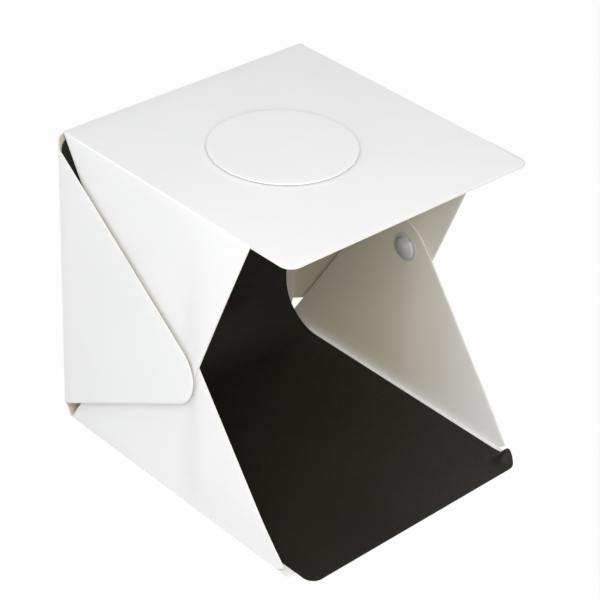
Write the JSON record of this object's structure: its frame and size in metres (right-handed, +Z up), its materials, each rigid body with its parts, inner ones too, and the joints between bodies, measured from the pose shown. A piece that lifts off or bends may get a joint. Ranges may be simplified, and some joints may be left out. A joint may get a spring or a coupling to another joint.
{
  "type": "light tent cube",
  "caption": "Fold-flat light tent of white translucent sheet with overlapping side flaps, a black sweep backdrop, a covered round top window and a light strip under the lip.",
  "frame": {"origin": "middle of the footprint at the underside of the bottom panel", "axes": "+Z up, the open front faces -Y, +X to the right seen from the front"},
  "size_m": [0.234, 0.2644, 0.2494],
  "materials": {
    "white_sheet": "translucent satin polypropylene sheet",
    "black_sheet": "matt black soft sheet",
    "cap_plastic": "milky grey moulded plastic",
    "nickel_steel": "nickel plated",
    "stud_plastic": "white moulded plastic",
    "coin_felt": "white hook and loop",
    "foam_tape": "white foam tape",
    "white_board": "white coated circuit board",
    "light_chip": "yellow phosphor in a white rim"
  },
  "bodies": {
    "base": {"bottom_panel": "white_sheet", "backdrop_sheet": "black_sheet"},
    "back": {"back_panel": "white_sheet", "left_stud_cap": "stud_plastic", "right_stud_cap": "stud_plastic", "left_stud_socket": "stud_plastic", "right_stud_socket": "stud_plastic"},
    "top": {"top_panel": "white_sheet", "loop_coin_1": "coin_felt", "loop_coin_2": "coin_felt", "loop_coin_3": "coin_felt", "loop_coin_4": "coin_felt", "strip_tape": "foam_tape", "strip_board": "white_board", "light_chip_01": "light_chip", "light_chip_02": "light_chip", "light_chip_03": "light_chip", "light_chip_04": "light_chip", "light_chip_05": "light_chip", "light_chip_06": "light_chip", "light_chip_07": "light_chip", "light_chip_08": "light_chip", "light_chip_09": "light_chip", "light_chip_10": "light_chip", "light_chip_11": "light_chip", "light_chip_12": "light_chip", "light_chip_13": "light_chip", "light_chip_14": "light_chip", "light_chip_15": "light_chip", "light_chip_16": "light_chip", "inlet_socket": "nickel_steel"},
    "cover": {"window_cover": "white_sheet", "hook_coin_1": "coin_felt", "hook_coin_2": "coin_felt", "hook_coin_3": "coin_felt", "hook_coin_4": "coin_felt"},
    "left_lower": {"left_lower_flap": "white_sheet", "left_magnet_cap": "cap_plastic", "left_magnet": "nickel_steel"},
    "right_lower": {"right_lower_flap": "white_sheet", "right_magnet_cap": "cap_plastic", "right_magnet": "nickel_steel"},
    "left_upper": {"left_upper_flap": "white_sheet"},
    "right_upper": {"right_upper_flap": "white_sheet"},
    "left_back": {"left_back_flap": "white_sheet", "left_keeper_cup": "cap_plastic", "left_keeper_disc": "nickel_steel"},
    "right_back": {"right_back_flap": "white_sheet", "right_keeper_cup": "cap_plastic", "right_keeper_disc": "nickel_steel"}
  },
  "joints": [
    {"name": "back_recline", "type": "hinge", "parent": "base", "child": "back", "pos_m": [0, 0.13, 0], "axis": [-1, 0, 0], "range_deg": [0, 89], "deforming": ["backdrop_sheet"]},
    {"name": "top_open", "type": "hinge", "parent": "back", "child": "top", "pos_m": [0, 0.13, 0.247], "axis": [-1, 0, 0], "range_deg": [0, 90]},
    {"name": "cover_lift", "type": "slide", "parent": "top", "child": "cover", "axis": [0, 0, 1], "range_m": [0, 0.06]},
    {"name": "left_side_open", "type": "hinge", "parent": "back", "child": "left_back", "pos_m": [-0.117, 0.13, 0.12], "axis": [0, 0, -1], "range_deg": [0, 90]},
    {"name": "left_upper_fold", "type": "hinge", "parent": "top", "child": "left_upper", "pos_m": [-0.113, 0.03, 0.247], "axis": [0, 1, 0], "range_deg": [0, 58.5]},
    {"name": "left_lower_fold", "type": "hinge", "parent": "base", "child": "left_lower", "pos_m": [-0.1119, 0.01, 0], "axis": [0, -1, 0], "range_deg": [0, 36]},
    {"name": "right_side_open", "type": "hinge", "parent": "back", "child": "right_back", "pos_m": [0.117, 0.13, 0.12], "axis": [0, 0, 1], "range_deg": [0, 90]},
    {"name": "right_upper_fold", "type": "hinge", "parent": "top", "child": "right_upper", "pos_m": [0.113, 0.03, 0.247], "axis": [0, -1, 0], "range_deg": [0, 58.5]},
    {"name": "right_lower_fold", "type": "hinge", "parent": "base", "child": "right_lower", "pos_m": [0.1119, 0.01, 0], "axis": [0, 1, 0], "range_deg": [0, 36]}
  ],
  "couplings": [
    {"joint": "left_upper_fold", "follows": "left_side_open", "ratio": 0.65},
    {"joint": "left_lower_fold", "follows": "left_side_open", "ratio": 0.4},
    {"joint": "right_upper_fold", "follows": "right_side_open", "ratio": 0.65},
    {"joint": "right_lower_fold", "follows": "right_side_open", "ratio": 0.4}
  ]
}
